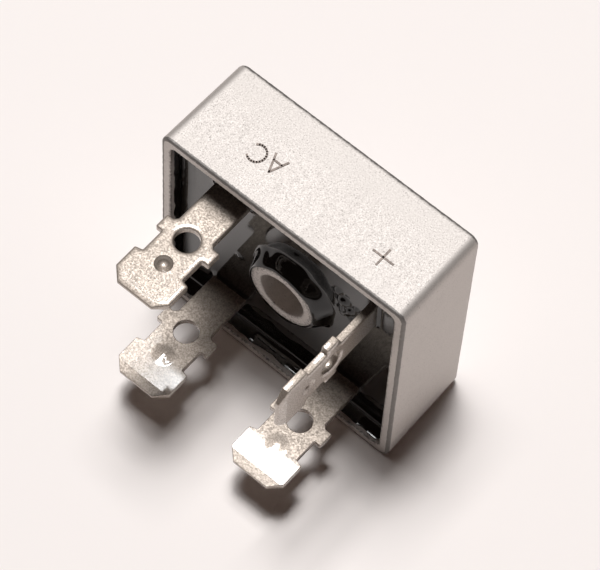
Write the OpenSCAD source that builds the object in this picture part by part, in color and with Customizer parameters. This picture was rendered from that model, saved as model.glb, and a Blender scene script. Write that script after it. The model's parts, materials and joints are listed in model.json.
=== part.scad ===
// Bridge rectifier in a metal case, standing on one side wall.
// +Z is up, the mounting face looks towards +Y and the terminals point to -Y.
// The origin is the centre of the mounting bore, on the mounting face.

/* [Case] */
// Outside width and height of the square case at its open rim
case_w = 28.5; // [27:0.1:36]
// Depth of the case, from the mounting face to the open rim
case_depth = 10.9; // [9.5:0.1:16]
// How far each outer wall leans in on its way to the mounting face
case_draft = 0.15; // [0:0.05:0.4]
// Thickness of the side walls at the rim
wall = 1.1; // [0.8:0.05:1.6]
// How much thicker each side wall has grown where it meets the floor
pocket_draft = 0.15; // [0:0.05:0.4]
// Thickness of the floor that carries the heat away
floor_t = 2; // [1.2:0.1:3]
// Radius of the four long corner edges
corner_r = 1.1; // [0.7:0.1:2]
// Radius of the pocket's four inner corners
pocket_r = 0.7; // [0.4:0.1:1.5]
// Rounding of the edge around the mounting face
base_round = 0.5; // [0.2:0.05:0.65]
// Rounding of the outer edge of the rim
rim_round = 0.25; // [0.1:0.05:0.5]

/* [Mounting tube] */
// Diameter of the bore for the mounting screw
bore_d = 5.2; // [4.4:0.1:5.8]
// Outside diameter of the tube around the bore
tube_d = 7.6; // [7:0.1:8.6]
// How far the end of the tube stands below the rim
tube_drop = 0.4; // [0:0.1:1.2]
// Chamfer where the bore opens at the end of the tube
bore_chamfer = 0.2; // [0.05:0.05:0.4]
// Rounding of the outer edge of the tube's end
tube_round = 0.25; // [0.1:0.05:0.4]

/* [Terminals] */
// Thickness of the strip that the terminals are stamped from
strip_t = 0.8; // [0.6:0.05:1]
// How far the tips stand out past the rim
reach = 11.8; // [10:0.1:16]
// Width of the push-on tab
tab_w = 6.35; // [5.6:0.05:7]
// Length of the push-on tab, tip to shoulder
tab_len = 3.7; // [3:0.1:4.5]
// Corner cut on each side of the tip
tip_cut = 1.15; // [0.6:0.05:1.6]
// Length of the bevels that thin the tip
bevel_len = 0.95; // [0.3:0.05:1.1]
// Depth of the bevel on each face of the tip
bevel_depth = 0.2; // [0.1:0.02:0.26]
// Length of the slanted shoulders behind the tab
shoulder_len = 0.2; // [0.1:0.05:0.8]
// Width of the waist between the tab and the ears
waist_w = 4.8; // [4.4:0.1:5.4]
// Length of the waist
waist_len = 2.6; // [2:0.1:3.4]
// Width across the pair of ears
ear_w = 6.3; // [5.8:0.1:7]
// Length of the ears
ear_len = 1.6; // [1:0.1:2]
// Length of the slanted step from the ears to the neck
ear_step = 0.4; // [0.2:0.05:0.6]
// Width of the neck that goes down into the potting
neck_w = 4.1; // [3.6:0.1:4.3]
// Diameter of the hole between the ears
eye_d = 2.5; // [1.8:0.1:2.8]
// How far the hole lies past the middle of the ears, towards the tip
eye_shift = 0.1; // [0:0.05:0.3]
// Depth of the rounded lead-in on the punched side of the hole
eye_lead = 0.35; // [0.05:0.05:0.4]
// Distance from the tip to the middle of the detent dimple
dimple_from_tip = 4; // [3:0.1:4.6]
// Diameter of the detent dimple where it is punched
dimple_d = 1.5; // [1.2:0.1:2]
// Depth of the detent dimple
dimple_depth = 0.45; // [0.3:0.05:0.5]
// Diameter of the bump that the dimple raises on the other face
bump_d = 2.6; // [1.6:0.1:2.8]
// Height of that bump
bump_h = 0.15; // [0.05:0.05:0.4]
// Inside radius of the bend between the neck and the foot
bend_r = 0.5; // [0.3:0.05:0.8]

/* [Terminal places] */
// Gap between the rim wall and the outer face of a terminal in either row
row_gap = 3.7; // [3:0.1:4.5]
// Gap between the rim wall and the near edge of a tab at either side
side_gap = 2.9; // [2:0.1:3.8]
// Gap between the rim wall and the outer face of the turned terminal
plus_face_gap = 3; // [2.4:0.1:3.8]
// Gap between the rim wall and the upper edge of the turned terminal's tab
plus_edge_gap = 2.5; // [2:0.1:3]

/* [Inside] */
// Thickness of the insulating sheet on the floor
sheet_t = 0.25; // [0.15:0.05:0.5]
// Clearance around the insulating sheet
sheet_clear = 0.2; // [0.1:0.05:0.5]
// Gap from the tube to the nearest foot or die
tube_gap = 1.2; // [0.8:0.1:1.5]
// Width of the arms of the feet
arm_w = 4.2; // [3.8:0.1:4.6]
// How far an arm reaches past the middle of the case
arm_reach = 2.3; // [2.1:0.1:3]
// Radius of the corners of the feet
arm_round = 0.5; // [0.2:0.1:1]
// Edge length of a silicon die
die_w = 4; // [3:0.1:4.2]
// Thickness of a silicon die
die_t = 0.3; // [0.2:0.05:0.5]
// Thickness of each solder layer
solder_t = 0.12; // [0.08:0.02:0.2]
// How far the solder stays inside the edge of the die
solder_inset = 0.2; // [0.1:0.05:0.4]

/* [Potting] */
// How far the flat middle of the potting lies below the rim
fill_drop = 2.1; // [1.6:0.1:2.8]
// Radius of the hollow curve in which the potting climbs the walls
creep_r = 1.3; // [0.8:0.1:1.5]
// How much of that curve is cut off where it would end in a knife edge
creep_cut = 0.15; // [0.05:0.05:0.3]
// Radius of the hollow curve around the tube
tube_creep_r = 1.2; // [0.8:0.1:1.4]
// Radius of the hollow curve around each terminal
neck_creep_r = 0.7; // [0.4:0.1:0.9]

/* [Hidden] */

// Everything below is laid out with the mounting face on z = 0 and the
// terminals pointing up, and stood on its side wall at the end.
eps = 0.01;
far = 2 * (case_w + case_depth + reach);
mouth_half = case_w / 2 - wall;
well_half = mouth_half - case_draft - pocket_draft;
tube_top = case_depth - tube_drop;
fill_z = case_depth - fill_drop;

// Heights of the stack on the floor
low_foot_z = floor_t + sheet_t;
low_solder_z = low_foot_z + strip_t;
die_z = low_solder_z + solder_t;
high_solder_z = die_z + die_t;
high_foot_z = high_solder_z + solder_t;

// Places of the four blades and of the strips that carry the dice
row_y = mouth_half - row_gap - strip_t / 2;
column_x = mouth_half - side_gap - tab_w / 2;
plus_x = mouth_half - plus_face_gap - strip_t / 2;
plus_y = mouth_half - plus_edge_gap - tab_w / 2;
arm_in = tube_d / 2 + tube_gap;
arm_mid = arm_in + arm_w / 2;

// Heights along a blade, counted from the mounting face
tip_z = case_depth + reach;
cut_z = tip_z - tip_cut;
shoulder_z = tip_z - tab_len;
waist_top_z = shoulder_z - shoulder_len;
ear_top_z = waist_top_z - waist_len;
ear_low_z = ear_top_z - ear_len;
neck_z = ear_low_z - ear_step;
eye_z = (ear_top_z + ear_low_z) / 2 + eye_shift;
dimple_z = tip_z - dimple_from_tip;

// Radius of the ball whose cap is so wide and so high
function cap_r(d, h) = (d * d / 4 + h * h) / (2 * h);

// Turns the bench layout onto its side wall
module stand() {
    rotate([90, 0, 0]) children();
}

// A ring at each of the four corners of a square
module corner_rings(half, ring_r, round_r, z) {
    for (sx = [-1, 1], sy = [-1, 1])
        translate([sx * (half - ring_r), sy * (half - ring_r), z])
            rotate_extrude($fn = 32)
                translate([ring_r - round_r, 0])
                    circle(r = round_r, $fn = 24);
}

// Outer form of the cup, with draft and rounded edges
module cup_form() {
    hull() {
        corner_rings(case_w / 2 - case_draft, corner_r, base_round, base_round);
        corner_rings(case_w / 2, corner_r, rim_round, case_depth - rim_round);
    }
}

// The space inside the cup, open past the rim
module well_form() {
    lean = (mouth_half - well_half) / (case_depth - floor_t);
    hull()
        for (sx = [-1, 1], sy = [-1, 1], level = [floor_t, case_depth + 1]) {
            half = well_half + lean * (level - floor_t);
            translate([sx * (half - pocket_r), sy * (half - pocket_r), level])
                cylinder(r = pocket_r, h = eps, $fn = 32);
        }
}

// Everything inside the tube's outer wall, from under the floor to the given height
module tube_form(top_z) {
    translate([0, 0, -1]) cylinder(d = tube_d, h = top_z + 1, $fn = 96);
}

// The tube with its rounded end
module tube() {
    rotate_extrude($fn = 96) {
        square([tube_d / 2, tube_top - tube_round]);
        square([tube_d / 2 - tube_round, tube_top]);
        translate([tube_d / 2 - tube_round, tube_top - tube_round])
            circle(r = tube_round, $fn = 48);
    }
}

// The bore, open at both ends, with a chamfer at the end of the tube
module bore() {
    translate([0, 0, -1]) cylinder(d = bore_d, h = tube_top + 2, $fn = 96);
    translate([0, 0, tube_top - bore_chamfer])
        cylinder(
            r1 = bore_d / 2,
            r2 = bore_d / 2 + 2 * bore_chamfer,
            h = 2 * bore_chamfer, $fn = 96
        );
}

module cup() {
    difference() {
        union() {
            difference() {
                cup_form();
                well_form();
            }
            tube();
        }
        bore();
    }
}

module sheet() {
    half = well_half - sheet_clear;
    translate([0, 0, floor_t])
        linear_extrude(sheet_t)
            difference() {
                rounded_box(-half, half, -half, half, pocket_r);
                circle(d = tube_d + 2 * sheet_clear, $fn = 96);
            }
}

// A rectangle from corner to corner, with round corners
module rounded_box(x0, x1, y0, y1, r) {
    translate([x0 + r, y0]) square([x1 - x0 - 2 * r, y1 - y0]);
    translate([x0, y0 + r]) square([x1 - x0, y1 - y0 - 2 * r]);
    for (x = [x0 + r, x1 - r], y = [y0 + r, y1 - r])
        translate([x, y]) circle(r = r, $fn = 32);
}

// One half of a blade's outline, from the neck up to the tip
function blade_side(low_z) = [
    [neck_w / 2, low_z],
    [neck_w / 2, neck_z],
    [waist_w / 2, ear_low_z],
    [ear_w / 2, ear_low_z],
    [ear_w / 2, ear_top_z],
    [waist_w / 2, ear_top_z],
    [waist_w / 2, waist_top_z],
    [tab_w / 2, shoulder_z],
    [tab_w / 2, cut_z],
    [tab_w / 2 - tip_cut, tip_z]
];

function mirrored(side) = [for (i = [len(side) - 1:-1:0]) [-side[i][0], side[i][1]]];

// A flat blade above low_z, its outer face on y = strip_t / 2
module blade(low_z) {
    difference() {
        union() {
            translate([0, strip_t / 2, 0])
                rotate([90, 0, 0])
                    linear_extrude(strip_t)
                        polygon(concat(blade_side(low_z), mirrored(blade_side(low_z))));
            translate([0, -strip_t / 2, dimple_z]) rotate([90, 0, 0]) bump();
        }
        translate([0, strip_t / 2, eye_z]) rotate([90, 0, 0]) eye();
        translate([0, strip_t / 2, dimple_z]) rotate([90, 0, 0]) dimple();
        for (face = [0, 1]) mirror([0, face, 0]) tip_bevel();
    }
}

// The punched hole, wider where the punch went in
module eye() {
    translate([0, 0, -1]) cylinder(d = eye_d, h = strip_t + 2, $fn = 48);
    rotate_extrude($fn = 48)
        difference() {
            translate([0, -eye_lead]) square([eye_d / 2 + eye_lead, 2 * eye_lead]);
            translate([eye_d / 2 + eye_lead, eye_lead]) circle(r = eye_lead, $fn = 32);
        }
}

// The round-bottomed detent, cut from the outer face
module dimple() {
    ball = cap_r(dimple_d, dimple_depth);
    translate([0, 0, dimple_depth - ball]) sphere(r = ball, $fn = 48);
}

// The bump behind the detent
module bump() {
    ball = cap_r(bump_d, bump_h);
    intersection() {
        translate([0, 0, bump_h - ball]) sphere(r = ball, $fn = 48);
        cylinder(d = bump_d + 1, h = bump_h + 1, $fn = 48);
    }
}

// The wedge cut from the outer face at the tip
module tip_bevel() {
    translate([-far / 2, 0, 0])
        rotate([90, 0, 90])
            linear_extrude(far)
                polygon([
                    [strip_t / 2, tip_z - bevel_len],
                    [strip_t / 2 - bevel_depth - bevel_depth / bevel_len, tip_z + 1],
                    [strip_t / 2 + 1, tip_z + 1],
                    [strip_t / 2 + 1, tip_z - bevel_len]
                ]);
}

// The bend from a blade on y = 0 down to a foot that runs to -y at height z
module bend(z) {
    outer = bend_r + strip_t;
    translate([-neck_w / 2, strip_t / 2 - outer, z + outer])
        rotate([90, 0, 90])
            linear_extrude(neck_w)
                intersection() {
                    difference() {
                        circle(r = outer, $fn = 64);
                        circle(r = bend_r, $fn = 64);
                    }
                    translate([0, -outer]) square(outer);
                }
}

// A foot for the corner at +x +y: two arms and the tongue under the bend
module foot(z, blade_x, blade_y, turned) {
    heel = bend_r + strip_t / 2;
    arm_out = arm_in + arm_w;
    translate([0, 0, z])
        linear_extrude(strip_t) {
            rounded_box(-arm_reach, arm_out, arm_in, arm_out, arm_round);
            rounded_box(arm_in, arm_out, -arm_reach, arm_out, arm_round);
            if (turned)
                translate([arm_in, blade_y - neck_w / 2])
                    square([blade_x - heel - arm_in, neck_w]);
            else
                translate([blade_x - neck_w / 2, arm_in])
                    square([neck_w, blade_y - heel - arm_in]);
        }
}

// A terminal for the corner at +x +y, its blade facing +y
module plain_terminal(z) {
    translate([column_x, row_y, 0]) {
        blade(z + bend_r + strip_t);
        bend(z);
    }
    foot(z, column_x, row_y, false);
}

// The terminal for the corner at +x +y whose blade is turned to face +x
module turned_terminal(z) {
    translate([plus_x, plus_y, 0])
        rotate([0, 0, -90]) {
            blade(z + bend_r + strip_t);
            bend(z);
        }
    foot(z, plus_x, plus_y, true);
}

module corner(sx, sy) {
    mirror([sx < 0 ? 1 : 0, 0, 0]) mirror([0, sy < 0 ? 1 : 0, 0]) children();
}

// A square layer of the given width in the middle of one side of the ring
module layer(side, w, z, t) {
    angle = [for (i = [0:3]) if (["right", "upper", "left", "lower"][i] == side) 90 * i][0];
    rotate([0, 0, angle])
        translate([arm_mid - w / 2, -w / 2, z])
            cube([w, w, t]);
}

module chip(side) {
    layer(side, die_w, die_z, die_t);
}

module joint_metal(side, z) {
    layer(side, die_w - 2 * solder_inset, z, solder_t);
}

// How high a creep curve of radius r stands at a distance inside the wall that it climbs
function creep_rise(r, inside) = r - sqrt(r * r - pow(r - creep_cut + inside, 2));

// Section through the air in a trough 2 * half wide, its bottom edges rounded by the creep
module trough_section(half) {
    middle = half + creep_cut - creep_r;
    for (side = [-1, 1])
        translate([side * middle, fill_z + creep_r]) circle(r = creep_r, $fn = 96);
    translate([-middle, fill_z]) square([2 * middle, case_depth]);
    translate([-middle - creep_r, fill_z + creep_r]) square([2 * (middle + creep_r), case_depth]);
}

// The air above the potting: two troughs that cross
module air_form() {
    intersection() {
        trough(mouth_half);
        rotate([0, 0, 90]) trough(mouth_half);
    }
}

module trough(half) {
    translate([0, case_w, 0])
        rotate([90, 0, 0])
            linear_extrude(2 * case_w)
                trough_section(half);
}

// Section through the resin drawn up to a bar 2 * half wide
module mound_section(half, r) {
    foot = half + r - creep_cut;
    difference() {
        translate([-foot, -r]) square([2 * foot, r + creep_rise(r, creep_cut / 2)]);
        for (side = [-1, 1])
            translate([side * foot, r]) circle(r = r, $fn = 96);
    }
}

// Resin drawn up around the tube
module tube_creep() {
    translate([0, 0, fill_z])
        rotate_extrude($fn = 96)
            intersection() {
                mound_section(tube_d / 2, tube_creep_r);
                translate([0, -tube_creep_r]) square([tube_d, 2 * tube_creep_r]);
            }
}

// Resin drawn up around a neck that stands at the origin and faces +y
module neck_creep() {
    reach_out = neck_w / 2 + neck_creep_r;
    translate([0, 0, fill_z])
        intersection() {
            translate([0, reach_out, 0])
                rotate([90, 0, 0])
                    linear_extrude(2 * reach_out)
                        mound_section(neck_w / 2, neck_creep_r);
            translate([-reach_out, 0, 0])
                rotate([90, 0, 90])
                    linear_extrude(2 * reach_out)
                        mound_section(strip_t / 2, neck_creep_r);
        }
}

module all_neck_creeps() {
    for (place = [[-1, 1], [-1, -1], [1, -1]])
        translate([place[0] * column_x, place[1] * row_y, 0]) neck_creep();
    translate([plus_x, plus_y, 0]) rotate([0, 0, -90]) neck_creep();
}

module poured_resin() {
    difference() {
        intersection() {
            well_form();
            translate([-far / 2, -far / 2, floor_t]) cube([far, far, case_depth - floor_t]);
        }
        difference() {
            air_form();
            tube_creep();
            all_neck_creeps();
        }
        tube_form(case_depth + 1);
        sheet();
    }
}

module case() {
    color([0.80, 0.78, 0.76]) stand() cup();
}

module insulating_sheet() {
    color([0.82, 0.66, 0.30]) stand() sheet();
}

module terminal_plus() {
    color([0.78, 0.76, 0.72]) stand() turned_terminal(low_foot_z);
}

module terminal_minus() {
    color([0.78, 0.76, 0.72]) stand() corner(-1, -1) plain_terminal(low_foot_z);
}

module terminal_ac_upper() {
    color([0.78, 0.76, 0.72]) stand() corner(-1, 1) plain_terminal(high_foot_z);
}

module terminal_ac_lower() {
    color([0.78, 0.76, 0.72]) stand() corner(1, -1) plain_terminal(high_foot_z);
}

module die(side) {
    color([0.30, 0.33, 0.40]) stand() chip(side);
}

module solder(side, z) {
    color([0.62, 0.62, 0.64]) stand() joint_metal(side, z);
}

module potting() {
    color([0.06, 0.055, 0.05])
        difference() {
            stand() poured_resin();
            terminal_plus();
            terminal_minus();
            terminal_ac_upper();
            terminal_ac_lower();
            for (side = ["right", "upper", "left", "lower"]) {
                die(side);
                solder(side, low_solder_z);
                solder(side, high_solder_z);
            }
        }
}

case();
insulating_sheet();
terminal_plus();
terminal_minus();
terminal_ac_upper();
terminal_ac_lower();
die("upper");  // die_upper
die("left");  // die_left
die("lower");  // die_lower
die("right");  // die_right
solder("upper", high_solder_z);  // solder_upper_front
solder("upper", low_solder_z);  // solder_upper_back
solder("left", high_solder_z);  // solder_left_front
solder("left", low_solder_z);  // solder_left_back
solder("lower", high_solder_z);  // solder_lower_front
solder("lower", low_solder_z);  // solder_lower_back
solder("right", high_solder_z);  // solder_right_front
solder("right", low_solder_z);  // solder_right_back
potting();
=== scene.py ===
# The finish of a bridge rectifier: blasted case, tinned blades, poured resin and printed marks.
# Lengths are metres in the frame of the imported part: the mounting face looks to +Y,
# the rim and the blades to -Y, and +Z is up.

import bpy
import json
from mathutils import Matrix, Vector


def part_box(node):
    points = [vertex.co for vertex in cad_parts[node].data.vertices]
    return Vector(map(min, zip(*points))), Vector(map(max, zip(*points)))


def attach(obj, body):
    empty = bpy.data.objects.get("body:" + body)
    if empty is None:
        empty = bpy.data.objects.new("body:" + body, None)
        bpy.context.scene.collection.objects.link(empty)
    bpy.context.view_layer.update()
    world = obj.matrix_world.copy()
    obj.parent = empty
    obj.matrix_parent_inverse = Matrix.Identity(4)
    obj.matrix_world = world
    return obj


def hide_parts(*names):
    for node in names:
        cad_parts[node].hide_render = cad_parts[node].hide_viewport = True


bl_info = {
    "name": "Bridge Rectifier",
    "version": (1, 0, 0),
    "blender": (4, 5, 0),
    "location": "3D View > Sidebar > Rectifier",
    "description": "Dresses a bridge rectifier in a metal case and sets its stage",
    "category": "Add Mesh",
}

import json
import math

import bmesh
import bpy
from bpy.props import FloatProperty, FloatVectorProperty, IntProperty
from mathutils import Matrix, Quaternion, Vector, noise

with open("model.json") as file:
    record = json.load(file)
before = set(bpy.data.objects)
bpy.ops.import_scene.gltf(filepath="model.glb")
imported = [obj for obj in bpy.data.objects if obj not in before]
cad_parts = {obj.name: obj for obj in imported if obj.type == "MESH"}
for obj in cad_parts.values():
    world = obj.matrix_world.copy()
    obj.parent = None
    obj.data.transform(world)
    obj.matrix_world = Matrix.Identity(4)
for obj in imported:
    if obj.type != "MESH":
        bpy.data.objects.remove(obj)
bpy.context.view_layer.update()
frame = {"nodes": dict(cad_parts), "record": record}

MM = 0.001
BODY = "root"
MERGE_GAP = 1e-7
CASE_LOW, CASE_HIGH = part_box("case")
SHEET_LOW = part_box("insulating_sheet")[0]
MOUNTS = {mount["name"]: mount for mount in frame["record"]["mounts"]}
HALF = CASE_HIGH.x
DEPTH = -CASE_LOW.y
BORE_R = MOUNTS["mounting_bore"]["dims"]["r_mm"] * MM
TUBE_TOP = MOUNTS["mounting_bore"]["dims"]["length_mm"] * MM


# Sizes and colours that a user would change

def length(name, text, default, low=0.0, high=1.0):
    return FloatProperty(
        name=name, description=text, default=default, min=low, max=high,
        precision=5, subtype="DISTANCE", unit="LENGTH",
    )


def share(name, text, default, high=1.0):
    return FloatProperty(
        name=name, description=text, default=default, min=0.0, max=high, subtype="FACTOR",
    )


def tint(name, text, default):
    return FloatVectorProperty(
        name=name, description=text, default=default, min=0.0, max=1.0, size=3, subtype="COLOR",
    )


def number(name, text, default):
    return FloatProperty(name=name, description=text, default=default)


def count(name, text, default, low, high):
    return IntProperty(name=name, description=text, default=default, min=low, max=high)


def turn(name, text, degrees):
    return FloatProperty(
        name=name, description=text, default=math.radians(degrees), subtype="ANGLE", unit="ROTATION",
    )


class CaseSettings(bpy.types.PropertyGroup):
    wall: length("Wall", "Thickness of the side walls at the rim", 1.1 * MM)
    draft: length("Draft", "How far each outer wall leans in towards the mounting face", 0.15 * MM)
    pocket_draft: length("Pocket draft", "How much thicker a wall is where it meets the floor", 0.15 * MM)
    floor: length("Floor", "Thickness of the floor behind the mounting face", 2.0 * MM)
    corner: length("Corner radius", "Radius of the four long outer corners", 1.1 * MM)
    pocket_corner: length("Pocket radius", "Radius of the four inner corners", 0.7 * MM)
    base_round: length("Base rounding", "Rounding of the edge of the mounting face", 0.5 * MM)
    rim_round: length("Rim rounding", "Rounding of the outer edge of the rim", 0.25 * MM)
    lip_round: length("Lip rounding", "Rounding of the inner edge of the rim", 0.12 * MM)
    tube_radius: length("Tube radius", "Outside radius of the mounting tube", 3.8 * MM)
    tube_round: length("Tube rounding", "Rounding of the end of the tube", 0.25 * MM)
    nick_depth: length("Nick depth", "How deep the blasting has bitten into the edges", 0.05 * MM)
    nick_size: length("Nick size", "Size of the bites along the edges", 0.35 * MM)
    around: count("Points around", "Points in each ring of the case", 800, 64, 2400)
    colour: tint("Metal", "Colour of the blasted aluminium", (0.66, 0.62, 0.59))


class ResinSettings(bpy.types.PropertyGroup):
    pool_drop: length("Pool below rim", "How far the flat resin lies below the rim", 2.1 * MM)
    bowl: length("Bowl", "How far the middle of the pool hangs below its edges", 0.45 * MM)
    wall_climb: length("Climb at the walls", "Height of the film left on the walls", 1.35 * MM)
    wall_run: length("Run at the walls", "How far out the film on the walls fades", 0.26 * MM)
    collar_height: length("Collar height", "Height of the resin round the tube", 1.55 * MM)
    collar_run: length("Collar run", "How far out the collar reaches on its wider side", 1.7 * MM)
    collar_thin: share("Thin side", "Share of that reach on the other side of the tube", 0.5)
    neck_climb: length("Climb at the necks", "Height of the hollow edge at each neck", 0.3 * MM)
    neck_run: length("Run at the necks", "How far out the hollow edge at a neck fades", 0.22 * MM)
    around: count("Points around", "Points in each ring of the resin", 440, 64, 900)
    rings: count("Rings", "Rings from the walls to the tube", 84, 8, 200)
    colour: tint("Resin", "Colour of the potting", (0.006, 0.0055, 0.005))


class BladeSettings(bpy.types.PropertyGroup):
    thick: length("Strip", "Thickness of the strip", 0.8 * MM)
    tab_width: length("Tab width", "Width of the push-on tab", 6.35 * MM)
    tab_length: length("Tab length", "From the tip to the shoulders", 3.7 * MM)
    tip_cut: length("Tip cut", "Corner cut on each side of the tip", 1.15 * MM)
    bevel_length: length("Bevel length", "Length of the bevels that thin the tip", 0.95 * MM)
    bevel_depth: length("Bevel depth", "Depth of the bevel on each face", 0.2 * MM)
    shoulder: length("Shoulders", "Length of the slanted shoulders", 0.2 * MM)
    waist_width: length("Waist width", "Width between the tab and the ears", 4.8 * MM)
    waist_length: length("Waist length", "From the shoulders to the ears", 2.6 * MM)
    ear_width: length("Ear width", "Width across the pair of ears", 6.3 * MM)
    ear_length: length("Ear length", "Length of the ears", 1.6 * MM)
    ear_step: length("Ear step", "Length of the slanted step from the ears to the neck", 0.4 * MM)
    neck_width: length("Neck width", "Width of the neck that stands in the resin", 4.1 * MM)
    dimple_place: length("Dimple place", "From the tip to the middle of the dimple", 4.0 * MM)
    dimple: length("Dimple", "Diameter of the dimple on the punched face", 1.5 * MM)
    dimple_depth: length("Dimple depth", "Depth of the dimple", 0.45 * MM)
    dimple_lip: length("Dimple lip", "How far the rim of the dimple is drawn in", 0.15 * MM)
    bump: length("Bump", "Diameter of the bump that the dimple raises", 2.6 * MM)
    bump_height: length("Bump height", "Height of the bump", 0.15 * MM)
    corner: length("Corner rounding", "Rounding of the corners of the outline", 0.16 * MM)
    roll: length("Edge roll", "How far the punched edges are rolled in", 0.42 * MM)
    roll_drop: length("Edge drop", "How deep the punched edges are rolled", 0.13 * MM)
    burr: length("Burr edge", "Rounding of the edges of the other face", 0.06 * MM)
    root_depth: length("Root", "How far from the mounting face the blade starts", 7.5 * MM)
    colour: tint("Tin", "Colour of the tin plating", (0.62, 0.54, 0.47))


class MarkSettings(bpy.types.PropertyGroup):
    stroke: length("Stroke", "Width of a printed stroke", 0.2 * MM)
    letter: length("Letter height", "Height of the printed letters", 1.9 * MM)
    proud: length("Ink", "Thickness of the ink", 0.012 * MM)
    colour: tint("Ink colour", "Colour of the printed marks", (0.26, 0.215, 0.19))


class StageSettings(bpy.types.PropertyGroup):
    floor_size: length("Floor", "Width of the floor", 8.0, high=50.0)
    floor_colour: tint("Floor colour", "Colour of the paper that the part stands on", (0.93, 0.875, 0.85))
    azimuth: turn("Azimuth", "Way that the camera looks, round the part", 36.798)
    elevation: turn("Elevation", "Height of the camera over the part", 62.033)
    roll: turn("Roll", "Turn of the camera about its own axis", 4.098)
    distance: length("Distance", "From the camera to the point that it looks at", 316.3 * MM, high=10.0)
    lens: number("Lens", "Focal length of the camera in millimetres", 204.48)
    lamp_height: length("Lamp height", "Height of the lamps over the mounting bore", 2.0, high=20.0)
    lamp_skew: turn("Lamp skew", "How far the wide lamp is turned about the upright", -4.0)
    wide_lamp: number("Wide lamp", "Power of the wide lamp in watts", 30.0)
    narrow_lamp: number("Narrow lamp", "Power of the narrow lamp in watts", 15.0)
    room_colour: tint("Room colour", "Colour of the light that comes from all round", (1.0, 0.66, 0.56))
    fill: number("Fill", "Strength of the light from all round", 0.035)


SETTINGS = {
    "rectifier_case": CaseSettings,
    "rectifier_resin": ResinSettings,
    "rectifier_blades": BladeSettings,
    "rectifier_marks": MarkSettings,
    "rectifier_stage": StageSettings,
}


# Meshes

def new_piece(name, bm, slot, *replaced):
    """Makes a finished piece of a bmesh, riding on the part's one body."""
    mesh = bpy.data.meshes.new(name)
    bm.to_mesh(mesh)
    bm.free()
    piece = bpy.data.objects.new(name, mesh)
    bpy.context.scene.collection.objects.link(piece)
    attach(piece, BODY)
    if replaced:
        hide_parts(*replaced)
    return piece


def round_square(turned, half, radius):
    """The point (x, z) at a share of the way round a square with round corners.

    A turn of 0 is the middle of the +X side, and a radius as large as half makes a circle."""
    side = 2 * (half - radius)
    arc = math.pi / 2 * radius
    walk = turned * 4 * (side + arc) + side / 2
    quarter = int(walk // (side + arc))
    along = walk - quarter * (side + arc)
    if along < side:
        x, z = half, radius - half + along
    else:
        angle = (along - side) / radius
        x = half - radius + radius * math.cos(angle)
        z = half - radius + radius * math.sin(angle)
    for _ in range(quarter % 4):
        x, z = -z, x
    return x, z


def loft(bm, stations, around, place):
    """Draws rings out of one another, each put in place by place(turn, station)."""
    layers = bm.verts.layers.float
    turn_layer = layers.get("turn") or layers.new("turn")
    ring = bmesh.ops.create_circle(bm, segments=around, radius=1)["verts"]
    for i, vert in enumerate(ring):
        vert[turn_layer] = i / around
        vert.co = place(vert[turn_layer], stations[0])
    edges = list({edge for vert in ring for edge in vert.link_edges})
    rings = [ring]
    for station in stations[1:]:
        made = bmesh.ops.extrude_edge_only(bm, edges=edges)["geom"]
        ring = [item for item in made if isinstance(item, bmesh.types.BMVert)]
        fresh = set(ring)
        edges = [
            item for item in made
            if isinstance(item, bmesh.types.BMEdge) and fresh.issuperset(item.verts)
        ]
        for vert in ring:
            vert.co = place(vert[turn_layer], station)
        rings.append(ring)
    return rings


def arc_steps(count):
    """Cosine and sine of evenly spaced angles from 0 to a right angle."""
    return [(math.cos(math.pi / 2 * i / count), math.sin(math.pi / 2 * i / count)) for i in range(count + 1)]


# The case

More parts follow.
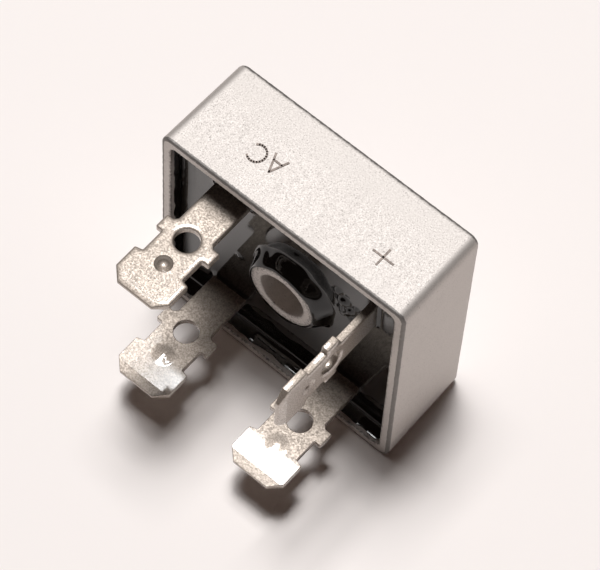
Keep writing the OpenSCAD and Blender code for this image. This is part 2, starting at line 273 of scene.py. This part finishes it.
def case_stations(s):
    """Rings (half, corner radius, y, nick) from the bore round the outside to the bore again."""
    near = 0.12 * MM
    base_half = HALF - s.draft
    lip = HALF - s.wall
    well = lip - s.draft - s.pocket_draft
    steps = arc_steps(6)
    chamfer = 0.2 * MM
    rings = [
        (BORE_R, BORE_R, -near, 0),
        (BORE_R, BORE_R, 0, 0),
        (BORE_R + near, BORE_R + near, 0, 0),
    ]
    inset = base_half - s.base_round
    corner = s.corner - s.base_round
    rings.append((inset - near, corner, 0, 0))
    rings += [
        (
            inset + s.base_round * sine, corner + s.base_round * sine,
            s.base_round * (cosine - 1), 2 * sine * cosine,
        )
        for cosine, sine in steps
    ]
    rings.append((base_half, s.corner, -s.base_round - near, 0))
    turn_y = -DEPTH + s.rim_round
    rings.append((HALF, s.corner, turn_y + near, 0.2))
    inset = HALF - s.rim_round
    corner = s.corner - s.rim_round
    rings += [
        (inset + s.rim_round * cosine, corner + s.rim_round * cosine, turn_y - s.rim_round * sine, 1)
        for cosine, sine in steps
    ]
    rings.append((inset - near, corner - near, -DEPTH, 0.2))
    outset = lip + s.lip_round
    corner = s.pocket_corner + s.lip_round
    rings.append((outset + near, corner + near, -DEPTH, 0.2))
    rings += [
        (outset - s.lip_round * sine, corner - s.lip_round * sine, -DEPTH + s.lip_round * (1 - cosine), 0.6)
        for cosine, sine in steps
    ]
    rings.append((lip, s.pocket_corner, -DEPTH + s.lip_round + near, 0))
    rings.append((well, s.pocket_corner, -s.floor, 0))
    tube = s.tube_radius
    rings.append((tube + near, tube + near, -s.floor, 0))
    rings.append((tube, tube, -s.floor - near, 0))
    turn_y = -TUBE_TOP + s.tube_round
    inset = tube - s.tube_round
    rings.append((tube, tube, turn_y + near, 0.1))
    rings += [
        (inset + s.tube_round * cosine, inset + s.tube_round * cosine, turn_y - s.tube_round * sine, 0.6)
        for cosine, sine in steps
    ]
    mouth = BORE_R + chamfer
    rings.append((mouth + near, mouth + near, -TUBE_TOP, 0.3))
    rings += [
        (
            BORE_R + chamfer * (1 - sine), BORE_R + chamfer * (1 - sine),
            -TUBE_TOP + chamfer * (1 - cosine), 0.4,
        )
        for cosine, sine in steps
    ]
    rings.append((BORE_R, BORE_R, -TUBE_TOP + chamfer + near, 0))
    rings.append(rings[0])
    return rings


def nick(point, size):
    """How deep the blasting has bitten at a point, from -1 to 0."""
    place = point / size
    return min(0.65 * noise.noise(place) + 0.35 * noise.noise(place * 2.7) - 0.15, 0)


def build_case(s):
    bm = bmesh.new()
    edge_layer = bm.verts.layers.float.new("edge")
    stations = case_stations(s)

    def place(turned, station):
        x, z = round_square(turned, station[0], station[1])
        return Vector((x, station[2], z))

    rings = loft(bm, stations, s.around, place)
    for ring, station in zip(rings, stations):
        for vert in ring:
            vert[edge_layer] = station[3]
    bmesh.ops.remove_doubles(bm, verts=rings[0] + rings[-1], dist=MERGE_GAP)
    bmesh.ops.recalc_face_normals(bm, faces=bm.faces)
    bm.normal_update()
    for vert in bm.verts:
        if vert[edge_layer] > 0:
            vert.co += vert.normal * nick(vert.co, s.nick_size) * s.nick_depth * vert[edge_layer]
    for face in bm.faces:
        face.smooth = True
    return new_piece("case_shell", bm, "case", "case")


# The potting

def neck_places():
    """Centre (x, z) and half sizes of each blade's neck where it leaves the resin."""
    places = []
    for name in ("ac_upper", "minus", "ac_lower", "plus"):
        mount = MOUNTS["tab_" + name]
        x, _, z = mount["pos_m"]
        across = 2.05 * MM, 0.4 * MM
        places.append((x, z, *(reversed(across) if name == "plus" else across)))
    return places


def outside_box(x, z, box):
    """Distance from (x, z) to a box given by its centre and half sizes, or 0 inside it."""
    over_x = max(abs(x - box[0]) - box[2], 0)
    over_z = max(abs(z - box[1]) - box[3], 0)
    return math.hypot(over_x, over_z)


def lump(x, z, seed, size):
    """A smooth random value from -1 to 1."""
    return noise.noise(Vector((x, z, seed)) / size)


def ease(value):
    """Runs smoothly from 0 to 1."""
    held = min(max(value, 0), 1)
    return held * held * (3 - 2 * held)


# Sizes of the waves in the resin's film, its collar and its pool
FILM_WAVE = 1.3 * MM
COLLAR_WAVE = 2.2 * MM
COLLAR_TOP_WAVE = 1.6 * MM
POOL_WAVE = 6 * MM
POOL_SWELL = 0.02 * MM

# Splashes (x, z, radius, height) in millimetres that stand on the pool beside the tube
SPLASHES = [
    (6.1, 4.9, 0.75, 0.50), (6.9, 4.0, 0.60, 0.42), (6.3, 3.2, 0.70, 0.45), (5.4, 5.9, 0.50, 0.30),
    (7.6, 5.0, 0.35, 0.25), (7.2, 2.6, 0.40, 0.28), (-6.2, -1.8, 0.45, 0.18), (4.4, -8.6, 0.50, 0.20),
]


def resin_height(x, z, wall_gap, s, tube_radius, necks):
    """Height of the resin over the middle of its pool."""
    reach = HALF * HALF * 2
    height = s.bowl * (x * x + z * z) / reach
    film = 1 + 0.16 * lump(x, z, 0.001, FILM_WAVE)
    height += s.wall_climb * film * math.exp(-max(wall_gap, 0) / s.wall_run)
    away = math.hypot(x, z)
    wide_side = 0.5 + 0.5 * (x + z) / (away * math.sqrt(2))
    run = s.collar_run * (s.collar_thin + (1 - s.collar_thin) * wide_side)
    run *= 1 + 0.3 * lump(x, z, 0.007, COLLAR_WAVE)
    top = s.collar_height * (1 + 0.10 * lump(x, z, 0.011, COLLAR_TOP_WAVE))
    height = max(height, height + top * ease(1 - max(away - tube_radius, 0) / run))
    for box in necks:
        height += s.neck_climb * math.exp(-outside_box(x, z, box) / s.neck_run)
    for side, up, radius, rise in SPLASHES:
        gap = math.hypot(x - side * MM, z - up * MM) / (radius * MM)
        height += rise * MM * ease(1.3 - gap)
    return height + POOL_SWELL * lump(x, z, 0.003, POOL_WAVE)


def build_potting(s, case):
    lip = HALF - case.wall
    top = -DEPTH + s.pool_drop
    lean = (case.draft + case.pocket_draft) / (DEPTH - case.floor)
    wall_half = lip - lean * (s.pool_drop - s.wall_climb)
    tube = case.tube_radius
    necks = neck_places()

    def place(turned, station):
        half, radius, y = station
        x, z = round_square(turned, half, radius)
        if y is None:
            gap = wall_half - max(abs(x), abs(z))
            y = top - resin_height(x, z, gap, s, tube, necks)
        return Vector((x, y, z))

    stations = [(tube, tube, SHEET_LOW.y), (wall_half - 0.25 * MM, case.pocket_corner, SHEET_LOW.y)]
    for i in range(s.rings + 1):
        go = i / s.rings
        eased = go - 0.13 * math.sin(2 * math.pi * go)
        half = wall_half + (tube - wall_half) * eased
        radius = case.pocket_corner + (tube - case.pocket_corner) * eased ** 1.6
        stations.append((half, radius, None))
    stations.append(stations[0])
    bm = bmesh.new()
    rings = loft(bm, stations, s.around, place)
    bmesh.ops.remove_doubles(bm, verts=rings[0] + rings[-1], dist=MERGE_GAP)
    bmesh.ops.recalc_face_normals(bm, faces=bm.faces)
    for face in bm.faces:
        face.smooth = abs(face.normal.y) > 0.2
    return new_piece("poured_resin", bm, "potting", "potting")


# The terminals

def blade_corners(s, tip_height):
    """Corners (across, from the tip) of a blade: up one side from the tip to the root, and down the other."""
    root = tip_height - s.root_depth
    ear_top = s.tab_length + s.shoulder + s.waist_length
    ear_low = ear_top + s.ear_length
    side = [
        (s.neck_width, root),
        (s.neck_width, ear_low + s.ear_step),
        (s.waist_width, ear_low),
        (s.ear_width, ear_low),
        (s.ear_width, ear_top),
        (s.waist_width, ear_top),
        (s.waist_width, s.tab_length + s.shoulder),
        (s.tab_width, s.tab_length),
        (s.tab_width, s.tip_cut),
        (s.tab_width - 2 * s.tip_cut, 0),
    ]
    right = [Vector((width / 2, down)) for width, down in side]
    return right[::-1] + [Vector((-point.x, point.y)) for point in right]


def moved_corner(before, corner, after, inset):
    """A corner of an outline, and its turn, once both of its sides have moved inwards."""
    one = (corner - before).normalized()
    two = (after - corner).normalized()
    normal_one = Vector((-one.y, one.x))
    normal_two = Vector((-two.y, two.x))
    shift = (normal_one + normal_two) / (1 + normal_one.dot(normal_two))
    return corner + shift * inset, math.atan2(one.x * two.y - one.y * two.x, one.dot(two))


def outline_point(corners, turned, inset, radius, per_corner):
    """The point at a share of the way round an outline that is moved inwards and has round corners.

    Each corner has the same number of points, whatever the inset."""
    step = round(turned * len(corners) * per_corner)
    index = step // per_corner
    along = (step % per_corner) / (per_corner - 1)
    trio = [
        moved_corner(*(corners[(index + i + j) % len(corners)] for j in (-1, 0, 1)), inset)
        for i in (-1, 0, 1)
    ]
    (before, _), (corner, angle), (after, _) = trio
    bend = max(radius - inset if angle > 0 else radius + inset, 0.02 * MM)
    reach = bend * math.tan(abs(angle) / 2)
    start = corner + (before - corner).normalized() * reach
    end = corner + (after - corner).normalized() * reach
    return start.lerp(corner, along).lerp(corner.lerp(end, along), along)


def roll_stations(s):
    """Rings (inset, level) from the burred face round the edge to the rolled face."""
    half = s.thick / 2
    steps = arc_steps(4)
    rings = [(s.burr * (1 - cosine), -half + s.burr * (1 - sine)) for cosine, sine in reversed(steps)]
    rings += [(s.roll * (1 - cosine), half - s.roll_drop * (1 - sine)) for cosine, sine in steps]
    return rings


def face_edges(ring):
    """The edges along a ring of vertices."""
    inside = set(ring)
    touching = {edge for vert in ring for edge in vert.link_edges}
    return [edge for edge in touching if inside.issuperset(edge.verts)]


def round_rings(bm, down, rings, around=72):
    """Lofts circles (radius, level) at a distance from the tip."""

    def place(turned, ring):
        angle = 2 * math.pi * turned
        return Vector((ring[0] * math.cos(angle), down + ring[0] * math.sin(angle), ring[1]))

    return loft(bm, rings, around, place)


def dish_rings(s, facing):
    """Circles from the rim of the dimple, or of the bump behind it, to its middle."""
    half = s.thick / 2
    rings = []
    for i in range(17):
        out = math.cos(math.pi / 2 * i / 16) if i < 16 else 0.01
        if facing > 0:
            lip = s.dimple_lip * max(out - 0.8, 0) / 0.2
            radius = s.dimple / 2 * out + lip
            rings.append((radius, half - s.dimple_depth * (1 - out ** 2.4)))
        else:
            swell = 0.5 + 0.5 * math.cos(math.pi * out)
            rings.append((s.bump / 2 * out, -half - s.bump_height * swell))
    return rings


def foot_of(name, level):
    """The bend and the foot of a terminal, out of its solid, from the mounting face up to a level."""
    bm = bmesh.new()
    bm.from_mesh(frame["nodes"][name].data)
    bmesh.ops.remove_doubles(bm, verts=bm.verts, dist=MERGE_GAP)
    everything = bm.verts[:] + bm.edges[:] + bm.faces[:]
    cut = bmesh.ops.bisect_plane(
        bm, geom=everything, dist=MERGE_GAP, plane_co=(0, -level, 0), plane_no=(0, -1, 0), clear_outer=True,
    )["geom_cut"]
    bmesh.ops.edgenet_fill(bm, edges=[item for item in cut if isinstance(item, bmesh.types.BMEdge)])
    bmesh.ops.recalc_face_normals(bm, faces=bm.faces)
    for face in bm.faces:
        face.smooth = False
    return bm


def blade_place(name):
    """The matrix from a blade's own axes (across, from the tip, outwards) to the part's."""
    out = Vector(MOUNTS["eye_" + name]["axis"])
    inward = Vector((0, 1, 0))
    axes = Matrix([inward.cross(out), inward, out]).transposed().to_4x4()
    return Matrix.Translation(MOUNTS["tab_" + name]["pos_m"]) @ axes


def build_terminal(name, s):
    eye = MOUNTS["eye_" + name]
    tip = MOUNTS["tab_" + name]["pos_m"]
    eye_r = eye["dims"]["r_mm"] * MM
    corners = blade_corners(s, -tip[1])
    rolls = roll_stations(s)
    per_corner = 5

    def place(turned, station):
        point = outline_point(corners, turned, station[0], s.corner, per_corner)
        return Vector((point.x, point.y, station[1]))

    bm = bmesh.new()
    sides = loft(bm, rolls, len(corners) * per_corner, place)
    hole = round_rings(bm, eye["pos_m"][1] - tip[1], [(eye_r + inset, level) for inset, level in rolls])
    flat = []
    for end, facing in ((0, -1), (-1, 1)):
        dish = round_rings(bm, s.dimple_place, dish_rings(s, facing))
        bmesh.ops.holes_fill(bm, edges=face_edges(dish[-1]), sides=0)
        loops = [edge for ring in (sides[end], hole[end], dish[0]) for edge in face_edges(ring)]
        filled = bmesh.ops.triangle_fill(bm, edges=loops, use_beauty=True, normal=(0, 0, facing))["geom"]
        flat += [item for item in filled if isinstance(item, bmesh.types.BMFace)]
    for face in bm.faces:
        face.smooth = True
    for face in flat:
        face.smooth = False
    thin_tip(bm, s)
    bmesh.ops.recalc_face_normals(bm, faces=bm.faces)
    bm.transform(blade_place(name))
    mesh = bpy.data.meshes.new("foot")
    foot = foot_of("terminal_" + name, s.root_depth)
    foot.to_mesh(mesh)
    foot.free()
    bm.from_mesh(mesh)
    bpy.data.meshes.remove(mesh)
    return new_piece("blade_" + name, bm, "terminals", "terminal_" + name)


def thin_tip(bm, s):
    """Bevels both faces of the tip."""
    everything = bm.verts[:] + bm.edges[:] + bm.faces[:]
    bmesh.ops.bisect_plane(
        bm, geom=everything, dist=MERGE_GAP, plane_co=(0, s.bevel_length, 0), plane_no=(0, 1, 0),
    )
    for vert in bm.verts:
        if vert.co.y < s.bevel_length:
            thinner = s.bevel_depth * (1 - vert.co.y / s.bevel_length) / (s.thick / 2)
            vert.co.z *= 1 - thinner


# The printed marks

def stroke(bm, points, width, top, proud):
    """One printed stroke along points (x, y) on the upper wall."""
    for start, end in zip(points, points[1:]):
        along = end - start
        made = bmesh.ops.create_cube(bm, size=1)["verts"]
        grow = Matrix.Diagonal((along.length + width * 0.6, width, proud, 1))
        spin = Matrix.Rotation(math.atan2(along.y, along.x), 4, "Z")
        middle = (start + end) / 2
        shift = Matrix.Translation((middle.x, middle.y, top + proud / 2))
        bmesh.ops.transform(bm, matrix=shift @ spin @ grow, verts=made)


def letter_points(centre, height, points):
    """Carries a letter's points, (right, up) in halves of its height, to (x, y) on the upper wall.

    The letters read towards -X, with their tops towards the blades."""
    return [Vector((centre[0] - right * height / 2, centre[1] - up * height / 2)) for right, up in points]


def build_marks(s):
    bm = bmesh.new()
    bow = [math.radians(48 + 264 * i / 16) for i in range(17)]
    drawings = [
        ((8.77 * MM, -7.27 * MM), [[(-1.2, 0), (1.2, 0)], [(0, -1.03), (0, 1.03)]]),
        ((-4.50 * MM, -6.45 * MM), [[(-0.78, -1), (0, 1), (0.78, -1)], [(-0.5, -0.35), (0.5, -0.35)]]),
        ((-6.56 * MM, -6.62 * MM), [[(0.95 * math.cos(angle), math.sin(angle)) for angle in bow]]),
    ]
    for centre, lines in drawings:
        for points in lines:
            stroke(bm, letter_points(centre, s.letter, points), s.stroke, HALF, s.proud)
    return new_piece("polarity_marks", bm, "case")


# Materials

def add_node(tree, kind, inputs=None, **settings):
    """A node with its settings, whose inputs are values or other nodes' sockets."""
    made = tree.nodes.new(kind)
    for name, value in settings.items():
        setattr(made, name, value)
    for name, value in (inputs or {}).items():
        if isinstance(value, bpy.types.NodeSocket):
            tree.links.new(value, made.inputs[name])
        else:
            made.inputs[name].default_value = value
    return made


def mix(tree, factor, first, second):
    """A colour between two colours."""
    made = add_node(tree, "ShaderNodeMix", data_type="RGBA")
    for index, value in ((0, factor), (6, first), (7, second)):
        if isinstance(value, bpy.types.NodeSocket):
            tree.links.new(value, made.inputs[index])
        elif index == 0:
            made.inputs[index].default_value = value
        else:
            made.inputs[index].default_value = (*value, 1)
    return made.outputs[2]


def remap(tree, value, low, high, new_low, new_high):
    """A value carried from one range to another and held within it."""
    inputs = {"Value": value, "From Min": low, "From Max": high, "To Min": new_low, "To Max": new_high}
    return add_node(tree, "ShaderNodeMapRange", inputs).outputs["Result"]


def combine(tree, operation, first, second):
    made = add_node(tree, "ShaderNodeMath", {0: first, 1: second}, operation=operation)
    return made.outputs[0]


def grain(tree, vector, scale, detail=3.0, roughness=0.6):
    inputs = {"Vector": vector, "Scale": scale, "Detail": detail, "Roughness": roughness}
    return add_node(tree, "ShaderNodeTexNoise", inputs).outputs["Fac"]


def new_group(name, inputs, outputs):
    """An empty shader group with its two end nodes."""
    tree = bpy.data.node_groups.new(name, "ShaderNodeTree")
    for label, kind, default in inputs:
        socket = tree.interface.new_socket(label, in_out="INPUT", socket_type=kind)
        if default is not None:
            socket.default_value = default
    for label, kind in outputs:
        tree.interface.new_socket(label, in_out="OUTPUT", socket_type=kind)
    return tree, tree.nodes.new("NodeGroupInput").outputs, tree.nodes.new("NodeGroupOutput").inputs


def use_group(tree, group, inputs):
    return add_node(tree, "ShaderNodeGroup", inputs, node_tree=group).outputs


def blasted_group():
    """Fine pits and grains, as blasting leaves them."""
    tree, given, out = new_group(
        "Blasted surface",
        [("Vector", "NodeSocketVector", None), ("Scale", "NodeSocketFloat", 4000.0)],
        [("Height", "NodeSocketFloat"), ("Pits", "NodeSocketFloat"), ("Tone", "NodeSocketFloat")],
    )
    fine = grain(tree, given["Vector"], given["Scale"], 3.0, 0.6)
    coarse = grain(tree, given["Vector"], combine(tree, "MULTIPLY", given["Scale"], 0.12), 3.0, 0.6)
    tree.links.new(fine, out["Height"])
    tree.links.new(remap(tree, fine, 0.60, 0.72, 0.0, 1.0), out["Pits"])
    tree.links.new(coarse, out["Tone"])
    return tree


def edge_chips_and_shade_group():
    """Breaks a smooth edge mask into chips and rubs. The mask darkens the rounded edges as painted shade."""
    tree, given, out = new_group(
        "Edge chips and painted shade",
        [
            ("Vector", "NodeSocketVector", None),
            ("Edge", "NodeSocketFloat", 0.0),
            ("Scale", "NodeSocketFloat", 2500.0),
        ],
        [("Mask", "NodeSocketFloat")],
    )
    chips = grain(tree, given["Vector"], given["Scale"], 3.0, 0.7)
    sum_ = combine(tree, "ADD", combine(tree, "MULTIPLY", given["Edge"], 0.55), chips)
    tree.links.new(remap(tree, sum_, 0.72, 0.92, 0.0, 1.0), out["Mask"])
    return tree


def scratch_group():
    """Thin lines drawn out across the strip, and a fine speckle between them."""
    tree, given, out = new_group(
        "Drawn strip",
        [("Vector", "NodeSocketVector", None), ("Scale", "NodeSocketFloat", 900.0)],
        [("Lines", "NodeSocketFloat"), ("Speckle", "NodeSocketFloat"), ("Height", "NodeSocketFloat")],
    )
    drawn_out = {"Vector": given["Vector"], "Scale": (0.12, 6.0, 0.12)}
    drawn = add_node(tree, "ShaderNodeMapping", drawn_out).outputs[0]
    lines = grain(tree, drawn, given["Scale"], 4.0, 0.75)
    speckle = grain(tree, given["Vector"], combine(tree, "MULTIPLY", given["Scale"], 7.0), 2.0, 0.6)
    tree.links.new(remap(tree, lines, 0.35, 0.68, 0.0, 1.0), out["Lines"])
    tree.links.new(remap(tree, speckle, 0.35, 0.65, 0.0, 1.0), out["Speckle"])
    both = combine(tree, "ADD", combine(tree, "MULTIPLY", lines, 0.2), speckle)
    tree.links.new(both, out["Height"])
    return tree


def speck_group():
    """Scattered specks of dust."""
    tree, given, out = new_group(
        "Dust specks",
        [
            ("Vector", "NodeSocketVector", None),
            ("Scale", "NodeSocketFloat", 900.0),
            ("Size", "NodeSocketFloat", 0.08),
        ],
        [("Mask", "NodeSocketFloat")],
    )
    cells = add_node(tree, "ShaderNodeTexVoronoi", {"Vector": given["Vector"], "Scale": given["Scale"]})
    tree.links.new(remap(tree, cells.outputs["Distance"], 0.0, given["Size"], 1.0, 0.0), out["Mask"])
    return tree


def new_material(name):
    """A material with its shader and the object's own coordinates."""
    material = bpy.data.materials.new(name)
    material.use_nodes = True
    tree = material.node_tree
    shader = next(node for node in tree.nodes if node.type == "BSDF_PRINCIPLED")
    vector = add_node(tree, "ShaderNodeTexCoord").outputs["Object"]
    return material, tree, shader, vector


def bump(tree, height, distance, strength=1.0, normal=None):
    inputs = {"Height": height, "Distance": distance, "Strength": strength}
    if normal is not None:
        inputs["Normal"] = normal
    return add_node(tree, "ShaderNodeBump", inputs).outputs["Normal"]


def group(name, maker):
    return bpy.data.node_groups.get(name) or maker()


def blasted_metal(colour):
    material, tree, shader, vector = new_material("blasted_aluminium")
    skin = use_group(tree, group("Blasted surface", blasted_group), {"Vector": vector, "Scale": 8000.0})
    # Painted shade: the edge mask darkens the rounded edges of the base, rim, lip and tube towards a third of
    # the metal's colour, broken into chips.
    edge = add_node(tree, "ShaderNodeAttribute", attribute_name="edge").outputs["Fac"]
    edge_shade_inputs = {"Vector": vector, "Edge": edge, "Scale": 3600.0}
    edge_chips_and_shade = use_group(tree, group("Edge chips and painted shade", edge_chips_and_shade_group), edge_shade_inputs)["Mask"]
    dark = [channel * 0.30 for channel in colour]
    base = mix(tree, skin["Tone"], [channel * 0.94 for channel in colour], colour)
    base = mix(tree, combine(tree, "MULTIPLY", skin["Pits"], 0.45), base, dark)
    base = mix(tree, combine(tree, "MULTIPLY", edge_chips_and_shade, 0.85), base, dark)
    tree.links.new(base, shader.inputs["Base Color"])
    shader.inputs["Metallic"].default_value = 1.0
    tree.links.new(remap(tree, skin["Height"], 0.3, 0.7, 0.6, 0.76), shader.inputs["Roughness"])
    tree.links.new(bump(tree, skin["Height"], 0.010 * MM, 0.7), shader.inputs["Normal"])
    return material


def black_resin(colour):
    material, tree, shader, vector = new_material("black_resin")
    haze = grain(tree, vector, 260.0, 4.0, 0.6)
    dust = {"Vector": vector, "Scale": 420.0, "Size": 0.045}
    specks = use_group(tree, group("Dust specks", speck_group), dust)
    base = mix(tree, specks["Mask"], colour, (0.10, 0.095, 0.09))
    tree.links.new(base, shader.inputs["Base Color"])
    tree.links.new(remap(tree, haze, 0.35, 0.7, 0.03, 0.09), shader.inputs["Roughness"])
    tree.links.new(bump(tree, haze, 0.004 * MM, 0.5), shader.inputs["Normal"])
    return material


def tinned_strip(colour):
    material, tree, shader, vector = new_material("tinned_strip")
    drawn = use_group(tree, group("Drawn strip", scratch_group), {"Vector": vector, "Scale": 900.0})
    dull = [channel * 0.85 for channel in colour]
    dark = [channel * 0.45 for channel in colour]
    base = mix(tree, combine(tree, "MULTIPLY", drawn["Lines"], 0.3), dull, colour)
    base = mix(tree, combine(tree, "MULTIPLY", drawn["Speckle"], 0.6), base, dark)
    tree.links.new(base, shader.inputs["Base Color"])
    shader.inputs["Metallic"].default_value = 1.0
    tree.links.new(remap(tree, drawn["Speckle"], 0.0, 1.0, 0.5, 0.7), shader.inputs["Roughness"])
    tree.links.new(bump(tree, drawn["Height"], 0.002 * MM, 0.4), shader.inputs["Normal"])
    shader.inputs["Coat Weight"].default_value = 1.0
    shader.inputs["Coat Roughness"].default_value = 0.08
    shader.inputs["Coat IOR"].default_value = 1.8
    return material


def printed_ink(colour):
    material, tree, shader, vector = new_material("printed_ink")
    broken = grain(tree, vector, 4200.0, 3.0, 0.6)
    base = mix(tree, remap(tree, broken, 0.4, 0.62, 0.0, 1.0), colour, [channel * 1.7 for channel in colour])
    tree.links.new(base, shader.inputs["Base Color"])
    shader.inputs["Roughness"].default_value = 0.7
    tree.links.new(bump(tree, broken, 0.01 * MM, 0.5), shader.inputs["Normal"])
    return material


def plain_layer(name, colour, metallic, roughness):
    """A finish for the layers that the resin hides."""
    material, tree, shader, vector = new_material(name)
    tone = grain(tree, vector, 900.0, 3.0, 0.5)
    base = mix(tree, tone, [channel * 0.85 for channel in colour], colour)
    tree.links.new(base, shader.inputs["Base Color"])
    shader.inputs["Metallic"].default_value = metallic
    tree.links.new(remap(tree, tone, 0.3, 0.7, roughness, roughness + 0.15), shader.inputs["Roughness"])
    return material


def studio_paper(colour):
    material, tree, shader, vector = new_material("studio_paper")
    tone = grain(tree, vector, 30.0, 2.0, 0.5)
    base = mix(tree, tone, [channel * 0.985 for channel in colour], colour)
    tree.links.new(base, shader.inputs["Base Color"])
    shader.inputs["Roughness"].default_value = 0.9
    shader.inputs["Specular IOR Level"].default_value = 0.1
    return material


def dress(piece, material):
    """Gives every slot of a piece the same material."""
    if not piece.data.materials:
        piece.data.materials.append(material)
    for index in range(len(piece.material_slots)):
        piece.material_slots[index].material = material


# Operators

class MakeCase(bpy.types.Operator):
    """Makes the blasted case with its pocket and mounting tube"""
    bl_idname = "rectifier.make_case"
    bl_label = "Case"

    def execute(self, context):
        s = context.scene.rectifier_case
        dress(build_case(s), blasted_metal(s.colour))
        return {"FINISHED"}


class MakePotting(bpy.types.Operator):
    """Pours the black resin and draws it up the walls, the tube and the necks"""
    bl_idname = "rectifier.make_potting"
    bl_label = "Potting"

    def execute(self, context):
        s = context.scene.rectifier_resin
        dress(build_potting(s, context.scene.rectifier_case), black_resin(s.colour))
        return {"FINISHED"}


class MakeBlades(bpy.types.Operator):
    """Stamps, rolls and tins the four terminals"""
    bl_idname = "rectifier.make_blades"
    bl_label = "Terminals"

    def execute(self, context):
        s = context.scene.rectifier_blades
        tin = tinned_strip(s.colour)
        for name in ("ac_upper", "minus", "ac_lower", "plus"):
            dress(build_terminal(name, s), tin)
        return {"FINISHED"}


class MakeInside(bpy.types.Operator):
    """Finishes the sheet, the dice and the solder under the resin"""
    bl_idname = "rectifier.make_inside"
    bl_label = "Inside"

    def execute(self, context):
        finishes = {
            "insulating_sheet": plain_layer("amber_film", (0.62, 0.40, 0.12), 0.0, 0.3),
            "die_": plain_layer("silicon", (0.10, 0.11, 0.15), 0.0, 0.2),
            "solder_": plain_layer("solder", (0.56, 0.56, 0.58), 1.0, 0.4),
        }
        for name, node in frame["nodes"].items():
            for start, finish in finishes.items():
                if name.startswith(start):
                    dress(node, finish)
        return {"FINISHED"}


class MakeMarks(bpy.types.Operator):
    """Prints the plus and the AC mark on the upper wall"""
    bl_idname = "rectifier.make_marks"
    bl_label = "Marks"

    def execute(self, context):
        s = context.scene.rectifier_marks
        dress(build_marks(s), printed_ink(s.colour))
        return {"FINISHED"}


class MakeStage(bpy.types.Operator):
    """Lays the floor, hangs the lights and sets the camera"""
    bl_idname = "rectifier.make_stage"
    bl_label = "Stage"

    def execute(self, context):
        s = context.scene.rectifier_stage
        lay_floor(s)
        hang_lights(s)
        set_camera(s)
        context.scene.view_settings.view_transform = "Standard"
        return {"FINISHED"}


def lay_floor(s):
    bm = bmesh.new()
    bmesh.ops.create_grid(bm, x_segments=2, y_segments=2, size=s.floor_size / 2)
    bmesh.ops.translate(bm, verts=bm.verts, vec=(0, 0, CASE_LOW.z))
    mesh = bpy.data.meshes.new("floor")
    bm.to_mesh(mesh)
    bm.free()
    floor = bpy.data.objects.new("floor", mesh)
    bpy.context.scene.collection.objects.link(floor)
    dress(floor, studio_paper(s.floor_colour))


def hang_lamp(name, low, high, height, power, colour, skew):
    """A flat lamp over the part, spanning the ways (x, y) from low to high for each unit of height."""
    lamp = bpy.data.lights.new(name, "AREA")
    lamp.shape = "RECTANGLE"
    lamp.size = (high[0] - low[0]) * height
    lamp.size_y = (high[1] - low[1]) * height
    lamp.energy = power
    lamp.color = colour
    light = bpy.data.objects.new(name, lamp)
    light.location = ((low[0] + high[0]) / 2 * height, (low[1] + high[1]) / 2 * height, height)
    light.rotation_euler = (0, 0, skew)
    bpy.context.scene.collection.objects.link(light)


def hang_lights(s):
    white = (1.0, 1.0, 1.0)
    hang_lamp("wide_lamp", (-0.345, -0.05), (-0.025, 0.375), s.lamp_height, s.wide_lamp, white, s.lamp_skew)
    hang_lamp("narrow_lamp", (-0.20, 0.04), (-0.03, 0.20), s.lamp_height, s.narrow_lamp, white, 0)
    world = bpy.data.worlds.new("room")
    world.use_nodes = True
    back = next(node for node in world.node_tree.nodes if node.type == "BACKGROUND")
    back.inputs["Color"].default_value = (*s.room_colour, 1.0)
    back.inputs["Strength"].default_value = s.fill
    bpy.context.scene.world = world


def set_camera(s):
    """Aims the camera at a point by the middle of the case and rolls it about its own axis."""
    data = bpy.data.cameras.new("camera")
    data.sensor_width = 36
    data.lens = s.lens
    data.clip_start = 0.01
    data.clip_end = 50
    camera = bpy.data.objects.new("camera", data)
    bpy.context.scene.collection.objects.link(camera)
    aim = Vector((0.507, -8.206, -0.037)) * MM
    level = math.cos(s.elevation)
    back = Vector((math.sin(s.azimuth) * level, -math.cos(s.azimuth) * level, math.sin(s.elevation)))
    camera.location = aim + back * s.distance
    camera.rotation_mode = "QUATERNION"
    camera.rotation_quaternion = back.to_track_quat("Z", "Y") @ Quaternion((0, 0, 1), s.roll)
    bpy.context.scene.camera = camera


OPERATORS = [MakeStage, MakeCase, MakePotting, MakeBlades, MakeInside, MakeMarks]


class RectifierPanel(bpy.types.Panel):
    """Lists the settings and the steps"""
    bl_idname = "VIEW3D_PT_rectifier"
    bl_label = "Bridge Rectifier"
    bl_space_type = "VIEW_3D"
    bl_region_type = "UI"
    bl_category = "Rectifier"

    def draw(self, context):
        for operator in OPERATORS:
            self.layout.operator(operator.bl_idname)
        for name, settings in SETTINGS.items():
            box = self.layout.box()
            for prop in settings.__annotations__:
                box.prop(getattr(context.scene, name), prop)


CLASSES = [*SETTINGS.values(), *OPERATORS, RectifierPanel]


def register():
    for made in CLASSES:
        bpy.utils.register_class(made)
    for name, settings in SETTINGS.items():
        setattr(bpy.types.Scene, name, bpy.props.PointerProperty(type=settings))


def unregister():
    for name in SETTINGS:
        delattr(bpy.types.Scene, name)
    for made in reversed(CLASSES):
        bpy.utils.unregister_class(made)


def main():
    register()
    bpy.ops.rectifier.make_stage()
    bpy.ops.rectifier.make_case()
    bpy.ops.rectifier.make_potting()
    bpy.ops.rectifier.make_blades()
    bpy.ops.rectifier.make_inside()
    bpy.ops.rectifier.make_marks()


if __name__ == "__main__":
    main()
